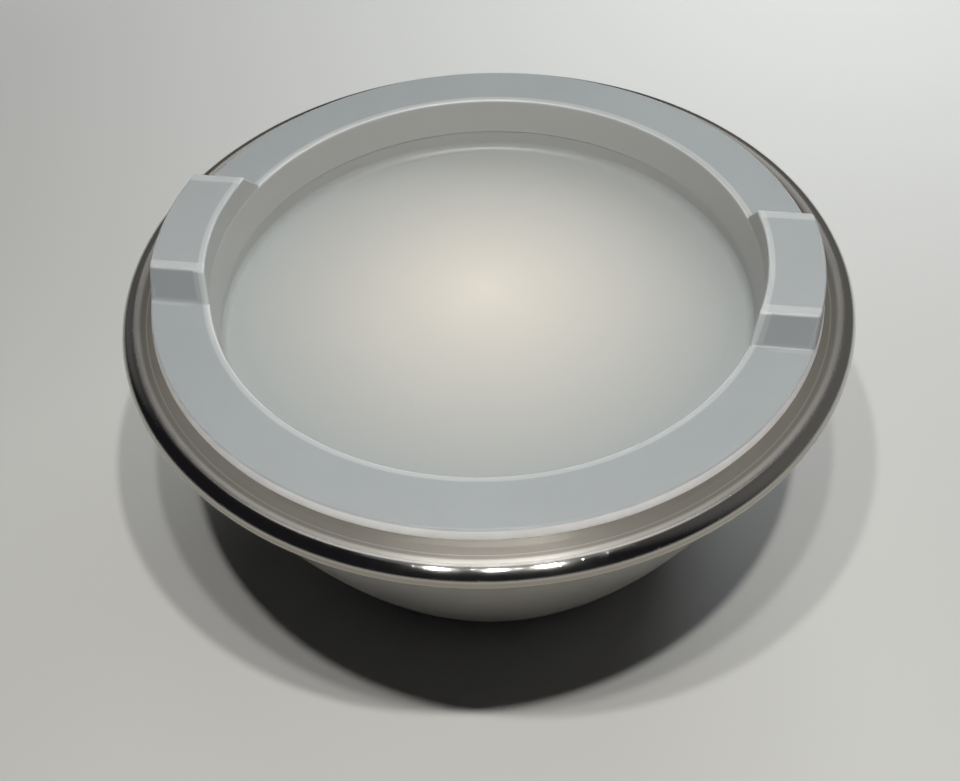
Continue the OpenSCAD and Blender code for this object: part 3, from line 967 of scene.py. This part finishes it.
class BOWL_OT_lid(bpy.types.Operator):
    """Moulds the lid with its two ears and the pockets under them"""
    bl_idname = "bowl.lid"
    bl_label = "Lid"

    def execute(self, context):
        form = form_of(context)
        lid = piece("frosted_lid", *turned(form.lid_outline()))
        for side in (1, -1):
            ear = ear_solid(form, "ear")
            if side < 0:
                mirror(ear)
            combine(lid, ear, "UNION")
        for side in (1, -1):
            for pocket in ear_pockets(form):
                if side < 0:
                    mirror(pocket)
                combine(lid, pocket, "DIFFERENCE")
        lid.data.shade_smooth()
        lid.data.set_sharp_from_angle(angle=LID_SHARP_EDGE)
        weigh = lid.modifiers.new("weigh", "WEIGHTED_NORMAL")
        weigh.keep_sharp = True
        apply_step(lid, weigh)
        finish = plastic_finish("frosted", context.scene.bowl_finish, form)
        dress(lid, finish, "lid", "lid")
        # The frosted lid lets the lamps through to the steel under its edge
        lid.visible_shadow = False
        return {"FINISHED"}


class BOWL_OT_seal(bpy.types.Operator):
    """Moulds the soft seal round the plug"""
    bl_idname = "bowl.seal"
    bl_label = "Seal"

    def execute(self, context):
        form = form_of(context)
        made = piece("seal_ring", *turned(form.seal_outline()))
        finish = seal_finish("seal_rubber_soft", context.scene.bowl_finish)
        dress(made, finish, "lid", "lid_seal")
        return {"FINISHED"}


def add_floor(studio):
    """The floor, a wide disc at the bowl's foot"""
    turns = np.linspace(0, 2 * math.pi, FLOOR_SIDES, endpoint=False)
    ring = [(FLOOR_R * math.cos(a), FLOOR_R * math.sin(a), 0.0) for a in turns]
    floor = piece("floor", ring, [tuple(range(FLOOR_SIDES))])
    floor.data.materials.append(floor_finish("floor_pale", studio))


def add_lamp(name, about, place, aim, width, strength, colour):
    """A round lamp at a place that turns with the camera about the bowl's axis"""
    data = bpy.data.lights.new(name, "AREA")
    data.shape, data.size, data.energy, data.color = "DISK", width, strength, colour
    made = bpy.data.objects.new(name, data)
    spot, target = about @ Vector(place), about @ Vector(aim)
    faced = (target - spot).to_track_quat("-Z", "Y").to_matrix().to_4x4()
    made.matrix_world = Matrix.Translation(spot) @ faced
    bpy.context.scene.collection.objects.link(made)
    return made


def add_room(studio, about):
    """A dark room with three paler walls for the steel to mirror, and a pale backdrop for the camera"""
    world = bpy.data.worlds.new("room")
    bpy.context.scene.world = world
    world.use_nodes = True
    tree = world.node_tree
    tree.nodes.clear()
    start = Wire(tree)
    way = start.add("ShaderNodeTexCoord", out="Generated")
    sky = tuple(studio.room)
    for name, (wall, span) in WALLS.items():
        aim = about @ Vector(wall).normalized()
        toward = way.add("ShaderNodeVectorMath", {"operation": "DOT_PRODUCT"},
                         {0: way, 1: tuple(aim)}, "Value")
        sky = toward.ease(*span).between(sky, tuple(getattr(studio, name)))
    sky = start.add("ShaderNodeLightPath", out="Is Camera Ray").between(sky, tuple(studio.backdrop))
    shine = start.add("ShaderNodeBackground", {}, {"Color": sky, "Strength": 1.0})
    tree.links.new(shine.socket, tree.nodes.new("ShaderNodeOutputWorld").inputs[0])


def add_camera(about):
    """The camera, placed in rim radii from the middle of the rim's widest circle"""
    data = bpy.data.cameras.new("camera")
    data.sensor_width, data.lens = SENSOR_W, FOCAL_PIXELS * SENSOR_W / PICTURE_W
    data.clip_start, data.clip_end = CAMERA_CLIP
    camera = bpy.data.objects.new("camera", data)
    back = Vector((0, -math.cos(CAMERA_FALL), math.sin(CAMERA_FALL)))
    right = Vector((1, 0, 0))
    up = Vector((0, math.sin(CAMERA_FALL), math.cos(CAMERA_FALL)))
    spot = (back * CAMERA_BACK + right * CAMERA_RIGHT + up * CAMERA_UP) * RIM_R + Vector((0, 0, RIM_LEVEL))
    rolled_right = right * math.cos(CAMERA_ROLL) + up * math.sin(CAMERA_ROLL)
    rolled_up = up * math.cos(CAMERA_ROLL) - right * math.sin(CAMERA_ROLL)
    axes = Matrix((rolled_right, rolled_up, back)).transposed().to_4x4()
    camera.matrix_world = about @ Matrix.Translation(spot) @ axes
    bpy.context.scene.collection.objects.link(camera)
    bpy.context.scene.camera = camera


class BOWL_OT_stage(bpy.types.Operator):
    """Makes the floor, the lamps, the surroundings and the camera"""
    bl_idname = "bowl.stage"
    bl_label = "Studio"

    def execute(self, context):
        studio = context.scene.studio
        add_floor(studio)
        about = Matrix.Rotation(studio.turned, 4, "Z")
        for i, (x, y, part) in enumerate(LAMPS):
            add_lamp(f"lamp_{i}", about, (x * RIM_R, y * RIM_R, LAMP_RISE * RIM_R + RIM_LEVEL),
                     (x * RIM_R, y * RIM_R, 0), 2 * studio.lamp_r, studio.lamp_power * part, LAMP_TINT)
        add_lamp("soft", about, SOFT_PLACE, (0, 0, 0), SOFT_W, studio.soft_power, SOFT_TINT)
        side = add_lamp("side", about, SIDE_PLACE, SIDE_AIM, SIDE_W, studio.side_power, SIDE_TINT)
        side.visible_glossy = False
        add_room(studio, about)
        add_camera(about)
        context.scene.view_settings.view_transform = "Standard"
        return {"FINISHED"}


class BOWL_PT_panel(bpy.types.Panel):
    """Lists the steps that build the bowl"""
    bl_idname = "BOWL_PT_panel"
    bl_label = "Bowl with lid"
    bl_space_type = "VIEW_3D"
    bl_region_type = "UI"
    bl_category = "Bowl"

    def draw(self, context):
        for step in OPERATORS:
            self.layout.operator(step.bl_idname)


OPERATORS = (BOWL_OT_outer_shell, BOWL_OT_liner, BOWL_OT_lid, BOWL_OT_seal, BOWL_OT_stage)
GROUPS = {"bowl_sizes": BowlSizes, "lid_sizes": LidSizes, "bowl_finish": Finish, "studio": Studio}


def register():
    for group in GROUPS.values():
        bpy.utils.register_class(group)
    for name, group in GROUPS.items():
        setattr(bpy.types.Scene, name, PointerProperty(type=group))
    for step in (*OPERATORS, BOWL_PT_panel):
        bpy.utils.register_class(step)


def unregister():
    for step in reversed((*OPERATORS, BOWL_PT_panel)):
        bpy.utils.unregister_class(step)
    for name, group in GROUPS.items():
        delattr(bpy.types.Scene, name)
        bpy.utils.unregister_class(group)


def main():
    """Builds the bowl and its studio"""
    register()
    bpy.ops.bowl.stage()
    bpy.ops.bowl.outer_shell()
    bpy.ops.bowl.liner()
    bpy.ops.bowl.lid()
    bpy.ops.bowl.seal()


if __name__ == "__main__":
    main()
